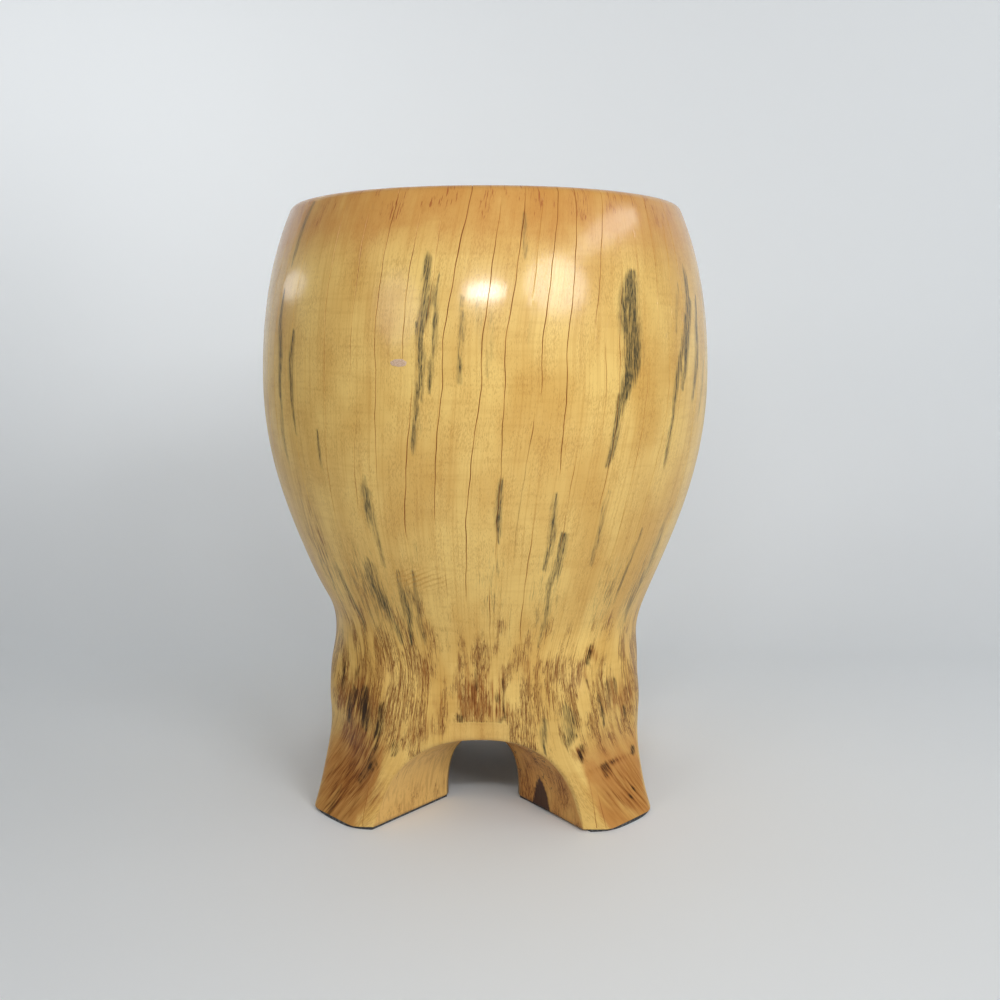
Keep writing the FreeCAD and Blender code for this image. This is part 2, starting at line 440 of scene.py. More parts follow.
half_phase = np.linspace(np.pi / 2, SOLE_PHASE, MOUTH_POINTS)
mouth_turn, mouth_height, mouth_radius = arch_meets(log_radius, half_phase, 1.0, 1.0)
mouth_turn = mouth_turn - 90.0
foot_turn = np.linspace(mouth_turn[-1], 45.0, FOOT_POINTS)
foot_line = place(foot_turn, SOLE_HEIGHT, log_radius(foot_turn, np.full_like(foot_turn, SOLE_HEIGHT)))
edge_line = np.concatenate([place(mouth_turn, mouth_height, mouth_radius), foot_line])
edge_run = np.append(0.0, np.cumsum(np.linalg.norm(np.diff(edge_line, axis=0), axis=1)))
edge_turn = np.append(mouth_turn, foot_turn)
edge_label = 45 * (ARC_WEIGHT * edge_run / edge_run[-1] + (1 - ARC_WEIGHT) * edge_turn / 45)
corner_label = edge_label[MOUTH_POINTS - 1]

plain = np.arange(-180.0, 180.0, COLUMN_SPACING)
clear = np.abs(turn_between(plain[:, None], crack_turn)).min(1) > CRACK_CLEARANCE
corners = (90.0 * np.arange(-2, 2)[:, None] + [-corner_label, corner_label]).ravel()
corners = turn_between(corners, 0.0)
triplets = (crack_turn[:, None] + [-LIP_HALF_WIDTH, 0.0, LIP_HALF_WIDTH]).ravel()
label = np.unique(np.concatenate([plain[clear], corners, triplets]).round(5))
crack_column = np.searchsorted(label, crack_turn.round(5))
columns = label.size
print(columns, "columns; an arch takes", round(2 * corner_label, 1), "degrees of them")

# %% [markdown]
# ## One skin from seat to hollow
# The rows of the grid run from the middle of the seat out over the rounded rim, down the barrel and the
# legs, round the lower edge, in along the soles and vaults, and up into the hollow. Between two cracks
# a column shifts by the weighted shift of its neighbours, so the grid, and with it the grain, follows
# the fibres.

# %% Rows of the outer skin
SEAT_ROWS = 12
RIM_ROWS = 6
BARREL_ROWS = 84
LEG_ROWS = 38
SEAT_CRACK_REACH = draw.uniform(35.0, 115.0, len(cracks))

rim_lean = np.arctan2(BELLY_RADIUS - RIM_RADIUS, SEAT_HEIGHT - BELLY_HEIGHT - SHOULDER_PULL)
rim_centre = RIM_RADIUS - RIM_ROUND * (1 - np.sin(rim_lean)) / np.cos(rim_lean)
rim_start = SEAT_HEIGHT - RIM_ROUND * (1 - np.sin(rim_lean))

before = (np.searchsorted(crack_turn, label, side="right") - 1) % len(cracks)
after = (before + 1) % len(cracks)
gap = (crack_turn[after] - crack_turn[before]) % 360.0
weight = ((label - crack_turn[before]) % 360.0) / gap


def column_shift(height):
    """Shift of every column at the given heights, between those of the cracks on its two sides."""
    shift = crack_shift(height)
    return shift[:, before] * (1 - weight) + shift[:, after] * weight


def groove(opening):
    """A row's grooves: each crack's opening at its bottom column, and 0 elsewhere."""
    rows = np.zeros((len(opening), columns))
    rows[:, crack_column] = opening
    return rows


barrel_height = np.linspace(rim_start, LEG_TOP_HEIGHT, BARREL_ROWS)
barrel_turn = label + column_shift(barrel_height)
barrel_open = groove(crack_opening(barrel_height[:, None]))
barrel = place(
    barrel_turn,
    barrel_height[:, None],
    skin_radius(barrel_turn, barrel_height[:, None]) - CRACK_DEPTH * barrel_open,
)

rim_angle = np.linspace(np.pi / 2, rim_lean, RIM_ROWS + 1)[:-1, None]
rim_turn = np.repeat(barrel_turn[:1], RIM_ROWS, 0)
rim_open = np.repeat(barrel_open[:1], RIM_ROWS, 0)
rim_size = RIM_ROUND - CRACK_DEPTH * rim_open
rim_swell = carving(barrel_turn[:1], rim_start)
rim = place(
    rim_turn,
    SEAT_HEIGHT - RIM_ROUND + rim_size * np.sin(rim_angle),
    rim_centre + rim_swell + rim_size * np.cos(rim_angle),
)

seat_share = (np.arange(1, SEAT_ROWS) / SEAT_ROWS)[:, None]
seat_radius = seat_share * (rim_centre + rim_swell)
seat_run = smooth((seat_share * rim_centre - SEAT_CRACK_REACH) / CRACK_TAPER)
seat_open = groove(seat_run * crack_opening(barrel_height[:1, None]))
seat = place(rim_turn[:1], SEAT_HEIGHT - CRACK_DEPTH * seat_open, seat_radius)
print("seat, rim and barrel:", len(seat), len(rim), len(barrel), "rows")

# %% Rows of the legs and of the two lower edges
VAULT_ROWS = 22
EDGE_ROWS = 4
MOUTH_EDGE = 4.0
SOLE_EDGE = 1.3
THROAT_EDGE = 2.5
EDGE_EASE = 14.0

quarter = np.round(label / 90.0)
local = label - 90.0 * quarter
sign = np.where(local < 0, -1.0, 1.0)
on_foot = np.abs(local) >= corner_label - 1e-6
phase = np.interp(np.abs(local), edge_label[:MOUTH_POINTS], half_phase)
foot_share = np.interp(np.abs(local), edge_label[MOUTH_POINTS:], np.linspace(0.0, 1.0, FOOT_POINTS))

arch_turn, arch_height, arch_radius = arch_meets(skin_radius, phase, sign, quarter)
sole_phase = np.full(columns, SOLE_PHASE)
sole_start = turn_between(arch_meets(skin_radius, sole_phase, sign, quarter)[0], 90 * quarter)
sole_turn = 90 * quarter + sole_start + foot_share * (45 * sign - sole_start)
outer_turn = np.where(on_foot, sole_turn, arch_turn)
outer_height = np.where(on_foot, SOLE_HEIGHT, arch_height)
outer_radius = np.where(on_foot, skin_radius(sole_turn, np.full(columns, SOLE_HEIGHT)), arch_radius)
outer_edge = place(outer_turn, outer_height, outer_radius)

throat_turn, throat_height, throat_radius = arch_meets(hollow_radius, phase, sign, quarter)
corner_turn = np.degrees(np.arctan2(THROAT_HALF_WIDTH, THROAT_REACH))
heel_turn = 90 * quarter + sign * (corner_turn + foot_share * (45 - corner_turn))
inner_turn = np.where(on_foot, heel_turn, throat_turn)
inner_height = np.where(on_foot, SOLE_HEIGHT, throat_height)
inner_radius = np.where(on_foot, HOLLOW_RADIUS, throat_radius)
inner_edge = place(inner_turn, inner_height, inner_radius)

run_in = np.linalg.norm(inner_edge - outer_edge, axis=1)
arch_rise = smooth((outer_height - SOLE_HEIGHT) / EDGE_EASE)
edge_size = SOLE_EDGE + (MOUTH_EDGE - SOLE_EDGE) * arch_rise
leg_end = 1 - edge_size / (LEG_TOP_HEIGHT - outer_height)


def leg_rows(share):
    """Turn and height of the columns below the barrel, straight down to the outer edge."""
    turn = barrel_turn[-1] + turn_between(outer_turn, barrel_turn[-1]) * share
    return turn, LEG_TOP_HEIGHT + (outer_height - LEG_TOP_HEIGHT) * share


def rounded_edge(start, corner, end, rows):
    """A quadratic curve from start to end that is pulled towards the corner, without its two ends."""
    t = np.linspace(0.0, 1.0, rows + 2)[1:-1, None, None]
    return (1 - t) ** 2 * start + 2 * t * (1 - t) * corner + t ** 2 * end


leg_turn, leg_height = leg_rows(leg_end * np.linspace(0.0, 1.0, LEG_ROWS + 1)[1:, None])
leg_open = groove(crack_opening(leg_height[:, crack_column]))
legs = place(leg_turn, leg_height, skin_radius(leg_turn, leg_height) - CRACK_DEPTH * leg_open)

vault_start = outer_edge + (inner_edge - outer_edge) * (edge_size / run_in)[:, None]
vault_end = inner_edge + (outer_edge - inner_edge) * (THROAT_EDGE / run_in)[:, None]
vault_share = np.linspace(0.0, 1.0, VAULT_ROWS)[:, None, None]
vault = vault_start + (vault_end - vault_start) * vault_share
mouth_rounding = rounded_edge(legs[-1], outer_edge, vault_start, EDGE_ROWS)
print("legs, edge and vault:", len(legs), len(mouth_rounding), len(vault), "rows")

# %% Rows of the hollow
HOLLOW_ROWS = 10
SEAT, RIM, BARREL, LEGS, EDGE, VAULT, THROAT, HOLLOW = range(8)


def hollow_point(turn, run):
    """Point of the hollow at a run from the floor: up the wall, round its top and in to the middle."""
    bend = np.clip((run - HOLLOW_WALL) / HOLLOW_ROUND, 0.0, np.pi / 2)
    inward = np.maximum(run - HOLLOW_WALL - HOLLOW_ROUND * np.pi / 2, 0.0)
    height = np.minimum(run, HOLLOW_WALL) + HOLLOW_ROUND * np.sin(bend)
    return place(turn, height, HOLLOW_RADIUS - HOLLOW_ROUND * (1 - np.cos(bend)) - inward)


above_wall = np.clip((inner_height - HOLLOW_WALL) / HOLLOW_ROUND, 0.0, 1.0)
run_start = np.minimum(inner_height, HOLLOW_WALL) + HOLLOW_ROUND * np.arcsin(above_wall) + THROAT_EDGE
run_total = HOLLOW_WALL + HOLLOW_ROUND * np.pi / 2 + HOLLOW_RADIUS - HOLLOW_ROUND
hollow_share = (np.arange(HOLLOW_ROWS) / HOLLOW_ROWS)[:, None]
hollow = hollow_point(inner_turn, run_start + (run_total - run_start) * hollow_share)
throat_rounding = rounded_edge(vault[-1], inner_edge, hollow[0], EDGE_ROWS // 2)
sections = [seat, rim, barrel, legs, mouth_rounding, vault, throat_rounding, hollow]
grid = np.concatenate(sections)
first_row = np.append(0, np.cumsum([len(section) for section in sections]))
print("grid of", grid.shape[0], "rows and", grid.shape[1], "columns")

# %% From grid to mesh
def closed_mesh(name, points, top, bottom):
    """A closed skin: quads between the rows, joined round, and a fan of triangles at each end."""
    rows, around = points.shape[:2]
    index = 1 + np.arange(rows * around).reshape(rows, around)
    beside = np.roll(index, -1, axis=1)
    quads = np.stack([index[:-1], index[1:], beside[1:], beside[:-1]], -1).reshape(-1, 4)
    last = 1 + rows * around
    top_fan = np.stack([np.zeros(around, int), index[0], beside[0]], -1)
    bottom_fan = np.stack([np.full(around, last), beside[-1], index[-1]], -1)
    mesh = bpy.data.meshes.new(name)
    vertices = np.concatenate([[top], points.reshape(-1, 3), [bottom]]) * MM
    mesh.from_pydata(vertices.tolist(), [], quads.tolist() + top_fan.tolist() + bottom_fan.tolist())
    mesh.polygons.foreach_set("use_smooth", np.ones(len(mesh.polygons), bool))
    mesh.validate()
    mesh.update()
    return linked(name, mesh)


def store(piece, name, values):
    """Keep one number or vector for every vertex, for the material to read. The ends repeat their row."""
    whole = np.concatenate([values[:1, 0], values.reshape((-1,) + values.shape[2:]), values[-1:, 0]])
    kind = "FLOAT" if whole.ndim == 1 else "FLOAT_VECTOR"
    attribute = piece.data.attributes.new(name, kind, "POINT")
    attribute.data.foreach_set("value" if whole.ndim == 1 else "vector", whole.astype(np.float32).ravel())


def sharpen(piece, lips):
    """Mark the edges that run down a lip as sharp, so that the gloss beside a crack stays smooth."""
    ends = np.empty(2 * len(piece.data.edges), np.int32)
    piece.data.edges.foreach_get("vertices", ends)
    ends = ends.reshape(-1, 2)
    flat = np.concatenate([[False], lips.ravel(), [False]])
    sharp = flat[ends].all(1) & (np.abs(ends[:, 0] - ends[:, 1]) == lips.shape[1])
    piece.data.attributes.new("sharp_edge", "BOOLEAN", "EDGE").data.foreach_set("value", sharp)
    return int(sharp.sum())


LIP_OPENING = 0.02
open_rows = [seat_open, rim_open, barrel_open, leg_open]
opened = np.concatenate(open_rows + [np.zeros((len(grid) - first_row[EDGE], columns))])
lips = (np.roll(opened, 1, 1) > LIP_OPENING) | (np.roll(opened, -1, 1) > LIP_OPENING)
log_skin = closed_mesh("log_skin", grid, (0.0, 0.0, SEAT_HEIGHT), (0.0, 0.0, HOLLOW_HEIGHT))
print(sharpen(log_skin, lips), "edges along the lips of cracks are sharp")
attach(log_skin, "root")
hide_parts("carved_body")
triangles = sum(len(face.vertices) - 2 for face in log_skin.data.polygons)
print("log_skin has", triangles, "triangles")

# %% [markdown]
# ## What the wood remembers
# Fungi left olive-grey streaks along the fibres and a grey haze by the waist, damp left brown stains and
# dark pores above the feet, and the top has turned orange. Each mark has its own place on the real
# stool, so a plain noise texture would look like some other log. The marks are short lists of places,
# kept on the mesh as soft masks, and the material breaks each mask up into strands, blots or pores.

# %% Lists of marks
GREY_STREAKS = (
    # turn and height of its top, turn and height of its bottom, half width in degrees, strength
    (-12.4, 408, -14.2, 345, 1.3, 1.00),
    (-14.6, 362, -13.6, 312, 1.1, 0.95),
    (-13.8, 326, -16.8, 272, 1.1, 0.80),
    (-10.2, 394, -11.8, 314, 0.8, 0.75),
    (-4.9, 380, -5.4, 322, 0.8, 0.75),
    (-1.2, 380, -1.4, 340, 0.9, 0.45),
    (1.4, 374, 0.6, 325, 0.9, 0.45),
    (9.6, 434, 8.6, 402, 0.9, 0.55),
    (10.8, 382, 9.6, 342, 0.9, 0.40),
    (35.6, 399, 34.4, 346, 3.0, 1.10),
    (34.8, 390, 33.4, 312, 2.8, 1.25),
    (33.2, 338, 30.6, 290, 1.4, 0.90),
    (31.2, 316, 29.0, 264, 1.2, 0.90),
    (58.3, 404, 56.4, 362, 1.3, 0.90),
    (55.2, 370, 48.6, 302, 1.3, 1.00),
    (49.6, 304, 48.5, 258, 1.0, 0.80),
    (59.3, 382, 52.0, 312, 1.4, 0.95),
    (63.6, 382, 59.5, 305, 1.5, 0.95),
    (53.6, 394, 49.8, 354, 1.0, 0.50),
    (69.5, 346, 64.0, 288, 1.2, 0.60),
    (-52.4, 452, -56.2, 402, 1.3, 0.80),
    (-57.6, 386, -57.2, 306, 1.3, 0.90),
    (-57.2, 322, -58.6, 258, 1.1, 0.65),
    (-50.8, 360, -51.6, 308, 1.4, 0.85),
    (-51.4, 322, -51.2, 282, 1.0, 0.65),
    (-42.0, 290, -43.0, 258, 0.8, 0.70),
    (-29.0, 262, -30.8, 222, 1.0, 0.90),
    (-28.4, 252, -28.8, 196, 1.0, 0.70),
    (-18.2, 218, -18.9, 192, 1.0, 0.70),
    (-24.2, 196, -24.9, 132, 1.3, 0.85),
    (-34.0, 200, -32.0, 154, 3.2, 0.80),
    (-33.0, 166, -28.4, 132, 1.5, 0.80),
    (-48.2, 194, -44.6, 138, 1.4, 0.75),
    (-20.2, 196, -20.4, 134, 1.3, 0.60),
    (3.6, 262, 3.0, 216, 1.0, 0.90),
    (17.0, 252, 16.0, 194, 1.2, 0.75),
    (20.0, 224, 18.6, 186, 1.0, 0.90),
    (18.9, 200, 18.0, 134, 1.5, 0.60),
    (30.6, 252, 29.6, 192, 1.2, 0.65),
    (46.4, 222, 43.8, 164, 1.0, 0.75),
    (58.8, 232, 56.4, 138, 2.8, 0.60),
    (25.5, 94, 26.5, 60, 3.0, 0.70),
    (19.8, 84, 19.4, 56, 1.5, 0.80),
    (41.5, 106, 41.0, 84, 2.4, 0.55),
)
GREY_HAZE = (
    # turn, height, half width in degrees, half height, strength
    (-36.0, 172, 12.0, 46, 0.62),
    (-22.0, 168, 7.0, 46, 0.52),
    (-52.0, 190, 8.0, 48, 0.60),
    (3.0, 180, 6.0, 50, 0.48),
    (19.0, 178, 8.0, 48, 0.52),
    (42.0, 168, 9.0, 44, 0.58),
    (56.0, 168, 7.0, 46, 0.70),
    (90.0, 170, 14.0, 45, 0.45),
    (125.0, 165, 12.0, 42, 0.40),
    (165.0, 170, 14.0, 45, 0.45),
    (-150.0, 168, 12.0, 45, 0.40),
    (-110.0, 170, 16.0, 42, 0.45),
)
BROWN_STAINS = (
    # turn, height, half width in degrees, half height, strength
    (-45.0, 88, 12.0, 24, 0.85),
    (-44.0, 58, 13.0, 20, 1.05),
    (-33.0, 76, 4.5, 18, 0.60),
    (-46.0, 28, 13.0, 34, 0.88),
    (-54.0, 215, 8.0, 45, 0.55),
    (-20.0, 118, 6.0, 20, 0.40),
    (-22.0, 74, 8.0, 16, 0.48),
    (-16.0, 90, 3.5, 14, 0.45),
    (-35.5, 30, 5.0, 26, 0.75),
    (-4.6, 90, 5.5, 13, 0.78),
    (4.0, 87, 5.0, 9, 0.78),
    (-8.4, 97, 1.3, 15, 0.85),
    (-5.8, 106, 1.2, 20, 0.90),
    (-3.4, 98, 1.4, 18, 1.05),
    (-0.6, 100, 1.1, 20, 0.90),
    (2.2, 96, 1.2, 15, 0.80),
    (5.0, 104, 1.1, 24, 0.80),
    (13.6, 120, 1.8, 9, 0.70),
    (37.0, 126, 2.8, 7, 0.80),
    (33.0, 108, 1.8, 9, 0.60),
    (46.0, 88, 8.0, 24, 0.55),
    (42.0, 64, 11.0, 18, 0.45),
    (53.0, 92, 4.5, 20, 0.62),
    (29.6, 56, 2.8, 6, 0.95),
    (42.0, 41, 11.0, 3.4, 0.85),
    (40.0, 37, 3.6, 7, 0.95),
    (46.0, 20, 13.0, 24, 0.70),
)
BLACK_MARKS = (
    # turn and height of its top, turn and height of its bottom, half width in degrees, strength
    (-39.0, 102, -41.5, 66, 3.4, 1.05),
    (-45.6, 98, -48.4, 78, 3.2, 0.90),
    (-47.0, 82, -50.0, 66, 2.0, 1.00),
    (-45.0, 114, -46.6, 98, 1.3, 0.75),
    (-53.0, 114, -50.6, 90, 1.6, 0.80),
    (-32.8, 94, -36.0, 60, 1.8, 1.10),
    (-34.0, 62, -41.5, 28, 2.8, 0.75),
    (-33.6, 46, -37.6, 38, 1.8, 1.00),
    (-28.6, 66, -29.4, 52, 1.5, 0.80),
    (-47.5, 24, -48.5, -6, 1.8, 0.70),
    (-9.6, 86, -8.4, 78, 1.5, 1.05),
    (-3.8, 130, -3.2, 100, 0.9, 0.75),
    (6.4, 114, 6.0, 86, 0.8, 0.75),
    (3.6, 103, 3.8, 93, 1.2, 0.85),
    (6.6, 86, 4.6, 78, 1.4, 0.80),
    (37.8, 134, 34.6, 116, 1.2, 0.95),
    (33.2, 110, 31.8, 96, 1.0, 0.80),
    (36.2, 98, 39.8, 68, 0.8, 1.10),
    (29.4, 71, 25.2, 65, 1.6, 1.20),
    (30.4, 64, 29.4, 49, 1.4, 0.95),
    (40.8, 46, 39.4, 32, 2.0, 0.75),
    (38.6, 44, 37.4, 38, 1.6, 0.80),
    (44.6, 45, 43.2, 39, 2.0, 0.80),
    (54.0, 47, 52.4, 39, 1.6, 1.05),
    (45.2, 106, 45.6, 90, 1.1, 0.80),
    (49.0, 84, 50.6, 68, 1.1, 0.80),
    (49.6, 19.5, 46.8, 14.5, 1.2, 0.95),
)
# one spot each: turn, height, half width in degrees, half height, strength
SAW_MARKS = (-17.0, 188.0, 13.0, 13.0, 1.0)
DAMP_LEFT = (-32.0, 148.0, 20.0, 48.0, 0.3)
UNSEEN_STREAKS = 90
LOW_STREAKS = 0.6
UNSEEN_STAINS = 40


def unseen_streaks():
    """Streaks round the sides and back: long ones on the belly, short crowded ones by the waist."""
    turns, chance = drawn(UNSEEN_STREAKS, (74, 286), (0, 1))
    low_tops, high_tops, short, long = drawn(UNSEEN_STREAKS, (130, 260), (300, 440), (14, 45), (25, 75))
    slants, widths, strengths = drawn(UNSEEN_STREAKS, (0.2, 2.2), (0.45, 1.5), (0.4, 0.95))
    tops = np.where(chance < LOW_STREAKS, low_tops, high_tops)
    lengths = np.where(chance < LOW_STREAKS, short, long)
    return np.stack([turns, tops, turns - slants, tops - lengths, widths, strengths], -1)


def unseen_stains():
    """Stains on the other legs, thickest between the hips and the arches."""
    turns = draw.uniform(62.0, 298.0, UNSEEN_STAINS)
    heights = draw.normal(84.0, 24.0, UNSEEN_STAINS)
    return np.stack([turns, heights, *drawn(UNSEEN_STAINS, (2.5, 7.0), (6.0, 20.0), (0.4, 0.95))], -1)


def unseen_marks(stains):
    """A black mark in the middle of every unseen stain."""
    turns, heights, widths, sizes, strengths = stains.T
    slants = draw.uniform(-2.0, 2.0, len(stains))
    tops = heights + sizes / 2
    return np.stack([turns, tops, turns + slants, heights - sizes / 2, widths / 4, 1.2 * strengths], -1)


print(len(GREY_STREAKS), "grey streaks,", len(BROWN_STAINS), "stains and", len(BLACK_MARKS), "black marks")

# %% Masks of streaks and spots
STREAK_WAVER = 0.3
WAVER_RUN = 9.0
WAVER_START = 7
NARROWEST_MARK = 0.5
CLEARLY_GREY = 0.3
skin_turn = np.degrees(np.arctan2(grid[..., 0], -grid[..., 1]))
skin_height = grid[..., 2]


def row_share(*numbers):
    """1 on the rows of the given sections of the grid, 0 on the others."""
    rows = np.zeros((len(grid), 1))
    for number in numbers:
        rows[first_row[number]: first_row[number + 1]] = 1.0
    return rows


def streak_mask(streaks):
    """The strongest of the streaks at each vertex: wavering spindles, with a bell across each."""
    mask = np.zeros(grid.shape[:2])
    for top_turn, top, low_turn, low, half_width, strength in streaks:
        along = np.clip((top - skin_height) / (top - low), 0.0, 1.0)
        waver = STREAK_WAVER * half_width * np.sin(skin_height / WAVER_RUN + WAVER_START * top_turn)
        half = np.maximum(half_width, NARROWEST_MARK) * np.sqrt(4 * along * (1 - along)) + 1e-6
        across = turn_between(skin_turn, top_turn + (low_turn - top_turn) * along + waver) / half
        mask = np.maximum(mask, strength * np.exp(-across ** 2))
    return mask


def spot_mask(spots):
    """The strongest of the spots at each vertex, each a bell in turn and in height."""
    mask = np.zeros(grid.shape[:2])
    for *spot, strength in spots:
        mask = np.maximum(mask, strength * bell(skin_turn, skin_height, *spot))
    return mask


streaks = np.concatenate([from_camera(GREY_STREAKS, 0, 2), unseen_streaks()])
other_stains = unseen_stains()
stains = np.concatenate([from_camera(BROWN_STAINS, 0), other_stains])
marks = np.concatenate([from_camera(BLACK_MARKS, 0, 2), unseen_marks(other_stains)])
outside = row_share(BARREL, LEGS, EDGE)
trimmed = outside * trimmed_band(skin_turn, skin_height)
untrimmed = outside - trimmed
masks = {
    "spalt": outside * streak_mask(streaks),
    "haze": outside * spot_mask(GREY_HAZE),
    "stain": untrimmed * spot_mask(stains),
    "black": untrimmed * streak_mask(marks),
    "saw": outside * spot_mask([SAW_MARKS]),
}
print("share of the skin under grey streaks:", round(float((masks["spalt"] > CLEARLY_GREY).mean()), 3))

# %% Masks of whole faces
DRY_HEIGHTS = (412.0, 438.0)
WARM_HEIGHTS = (385.0, 440.0)
SEAT_PALER = 0.5
BROWN_LEG_HEIGHTS = (82.0, 37.0)
PLANED_STEP = 3.0
TRIM_BROWN = 0.4
WALL_BROWN = 0.85
BROWN_WALL_STEP = 3.0
DAMP_TOP = (235.0, 85.0)
DAMP_FOOT = (18.0, 78.0)
DAMP_PORES = 0.85
WALL_PORES = 0.448
BROWN_WALL_PORES = 0.192
WALL_PATCH = (45.5, -88.0, 9.5, 27.0)  # x and y of its middle, half width, height
PATCH_FOOT = 1.15
PATCH_TAPER = 0.55
PATCH_TIP = 0.2
PATCH_EDGE = 1.5
WALL_REACH = 15.0


def planed_share(turn, height):
    """1 on the planed corners of the legs and 0 on their sides, with a narrow step at the edge between."""
    angle = np.radians(turn)
    side, corner = leg_sizes(height)
    to_side = side / np.maximum(np.abs(np.cos(angle)), np.abs(np.sin(angle)))
    to_corner = corner / np.cos((angle % (np.pi / 2)) - np.pi / 4)
    return smooth((to_side - to_corner) / PLANED_STEP + 0.5)


def wall_patch(middle_x, middle_y, half_width, patch_height):
    """A dark patch on the right wall of the front arch: upright, widest at the sole, like a flame."""
    along = np.array([MOUTH_HALF_WIDTH - THROAT_HALF_WIDTH, -ARCH_DEPTH])
    along = along / np.linalg.norm(along)
    from_middle = grid[..., :2] - [middle_x, middle_y]
    off_wall = from_middle @ [-along[1], along[0]]
    rising = skin_height / patch_height
    half = half_width * np.maximum(PATCH_FOOT - PATCH_TAPER * rising, PATCH_TIP)
    oval = np.hypot(from_middle @ along / half, rising)
    return smooth(PATCH_EDGE - oval) * (np.abs(off_wall) < WALL_REACH)


walls = row_share(VAULT)
brown_walls = walls * smooth(BROWN_WALL_STEP * np.sin(2 * np.radians(skin_turn)))
brown_legs = outside * ramp(skin_height, *BROWN_LEG_HEIGHTS) * planed_share(skin_turn, skin_height)
damp = untrimmed * ramp(skin_height, *DAMP_TOP) * ramp(skin_height, *DAMP_FOOT)
wall_pores = WALL_PORES * walls + BROWN_WALL_PORES * brown_walls
masks.update({
    "dry": row_share(RIM, BARREL) * ramp(skin_height, *DRY_HEIGHTS),
    "patch": row_share(VAULT, THROAT) * wall_patch(*WALL_PATCH),
    "warmth": ramp(skin_height, *WARM_HEIGHTS) * (1 - SEAT_PALER * row_share(SEAT)),
    "browned": np.maximum(brown_legs, TRIM_BROWN * trimmed + WALL_BROWN * brown_walls),
    "pores": damp * (DAMP_PORES + spot_mask([DAMP_LEFT])) + wall_pores,
    "crack": opened,
    "vault": row_share(VAULT, THROAT, HOLLOW),
    # painted shade: marks the throat and the hollow, which are coloured dark grey for the shade under the
    # log
    "hollow": row_share(THROAT, HOLLOW),
    "end_grain": row_share(SEAT),
})
for name, values in masks.items():
    store(log_skin, name, np.broadcast_to(values, grid.shape[:2]))
print("masks on the mesh:", ", ".join(masks))

# %% [markdown]
# ## Which way the fibres run
# The grain has to follow the wood, not the axes. On the barrel it runs along with the cracks, so it takes
# the mean lean and drift of those close by. On the legs it first closes in towards the arches and then
# fans out over the feet, which a smooth bend of the turn against height repeats.

# %% Fibre coordinates
FIBRE_RADIUS = 150.0
FIBRE_SPREAD = 9.0
CLOSING_TURN = 8.0
OPENING_TURN = 24.0
FAN_WAIST = 104.0
FAN_END = -36.0

turn_steps = np.arange(-180.0, 180.0, 2.0)
nearness = np.exp(-(turn_between(turn_steps[:, None], crack_turn) / FIBRE_SPREAD) ** 2)
nearness = nearness / nearness.sum(1, keepdims=True)
fibre_lean = np.interp(skin_turn, turn_steps, nearness @ crack_lean, period=360.0)
fibre_drift = np.interp(skin_turn, turn_steps, nearness @ crack_drift, period=360.0)
fibre_lean = fibre_lean * np.interp(skin_height, LEAN_HEIGHTS, LEAN_SHARES)
fibre_drift = fibre_drift * np.interp(skin_height, DRIFT_HEIGHTS, DRIFT_SHARES)
closing = ramp(skin_height, LEG_TOP_HEIGHT, FAN_WAIST)
opening_out = ramp(skin_height, FAN_WAIST, FAN_END)
fan = (CLOSING_TURN * closing - OPENING_TURN * opening_out) * np.sin(2 * np.radians(skin_turn)) ** 3
fibre_turn = skin_turn - fibre_lean - fibre_drift + fan
fibre_radius = np.hypot(grid[..., 0], grid[..., 1])
fibre_radius[: first_row[RIM]] *= FIBRE_RADIUS / rim_centre
fibre_radius[first_row[RIM]: first_row[VAULT]] = FIBRE_RADIUS
fibre = place(fibre_turn, skin_height, fibre_radius) * MM
store(log_skin, "fibre", fibre)
print("fibre coordinates run from", fibre.min((0, 1)).round(3), "to", fibre.max((0, 1)).round(3))

# %% [markdown]
# ## The filler in the belly
# A small hole at the front left was filled with putty and sanded flush. A flat disc would float on the
# curved belly, so the filler is a lens whose face follows the skin: it stands a hair proud in the middle
# and dips below the wood at its edge, which hides the seam.

# %% Filler
FILLER_LENGTH = 13.0
FILLER_PROUD = 0.16
FILLER_DIP = 0.22
FILLER_SINK = 1.6
FILLER_RINGS = 9
FILLER_POINTS = 56
FILLER_RAGGED = 0.03
RAGGED_WAVES = ((3, 0.6), (7, 0.0))  # waves round the edge, start
FILLER_EDGE = 12

filler_box = np.array(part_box("knot_filler")) / MM
filler_middle = filler_box.mean(0)
filler_turn = np.degrees(np.arctan2(filler_middle[0], -filler_middle[1]))
filler_width = filler_box[1, 2] - filler_box[0, 2]
round_angle = np.linspace(0, 2 * np.pi, FILLER_POINTS, endpoint=False)
slow, quick = (np.sin(waves * round_angle + start) for waves, start in RAGGED_WAVES)
ragged = 1 + FILLER_RAGGED * (quick - slow - 1)


def filler_point(share, lift):
    """Point of the filler: a share of the way out to its ragged oval edge, lifted off the skin."""
    along = share * ragged * FILLER_LENGTH / 2 * np.cos(round_angle)
    turn = filler_turn + np.degrees(along / BELLY_RADIUS)
    height = filler_middle[2] + share * ragged * filler_width / 2 * np.sin(round_angle)
    return place(turn, height, skin_radius(turn, height) + lift)


ring = (np.arange(1, FILLER_RINGS + 1) / FILLER_RINGS)[:, None]
filler_face = filler_point(ring, FILLER_PROUD - (FILLER_PROUD + FILLER_DIP) * ring ** FILLER_EDGE)
filler_back = filler_point(ring[::-2], -FILLER_SINK)
filler_skin = closed_mesh(
    "filler_plug",
    np.concatenate([filler_face, filler_back]),
    filler_point(np.zeros((1, 1)), FILLER_PROUD)[0, 0],
    filler_point(np.zeros((1, 1)), -FILLER_SINK)[0, 0],
)
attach(filler_skin, "root")
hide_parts("knot_filler")
print("filler at turn", round(filler_turn, 1), "and height", round(filler_middle[2], 1))

